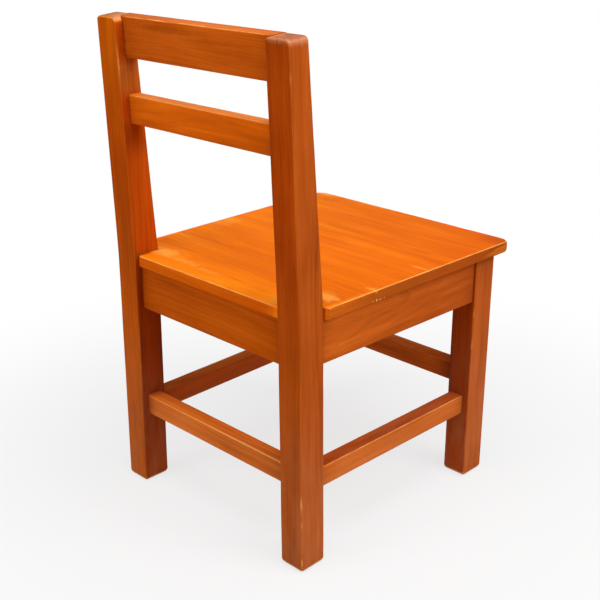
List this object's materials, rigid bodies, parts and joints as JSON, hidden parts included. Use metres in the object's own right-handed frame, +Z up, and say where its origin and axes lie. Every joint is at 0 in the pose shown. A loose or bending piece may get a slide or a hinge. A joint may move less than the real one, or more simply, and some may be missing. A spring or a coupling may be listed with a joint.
{
  "type": "preschool chair",
  "caption": "Small wooden preschool chair with square posts, a gently raked ladder back, a flat plank seat wider in front, aprons under the seat and low stretchers.",
  "frame": {"origin": "on the floor, midway between the left and right sides and midway between the seat's front edge and the rear of the post tops", "axes": "+Z up, +Y towards the back of the chair, +X towards the sitter's left; the sitter faces -Y"},
  "size_m": [0.3088, 0.3569, 0.5599],
  "materials": {
    "stained_wood": "orange-brown stain under satin varnish, arrises worn lighter",
    "block_wood": "bare sawn wood",
    "screw_steel": "zinc plated, dull"
  },
  "bodies": {
    "root": {"rear_post_left": "stained_wood", "rear_post_right": "stained_wood", "front_leg_left": "stained_wood", "front_leg_right": "stained_wood", "crest_rail": "stained_wood", "back_slat": "stained_wood", "rear_apron": "stained_wood", "front_apron": "stained_wood", "side_apron_left": "stained_wood", "side_apron_right": "stained_wood", "rear_stretcher": "stained_wood", "front_stretcher": "stained_wood", "side_stretcher_left": "stained_wood", "side_stretcher_right": "stained_wood", "seat_board_front": "stained_wood", "seat_board_middle": "stained_wood", "seat_board_rear": "stained_wood", "corner_block_front_left": "block_wood", "corner_block_front_right": "block_wood", "corner_block_rear_left": "block_wood", "corner_block_rear_right": "block_wood", "seat_screws": "screw_steel"}
  },
  "joints": []
}
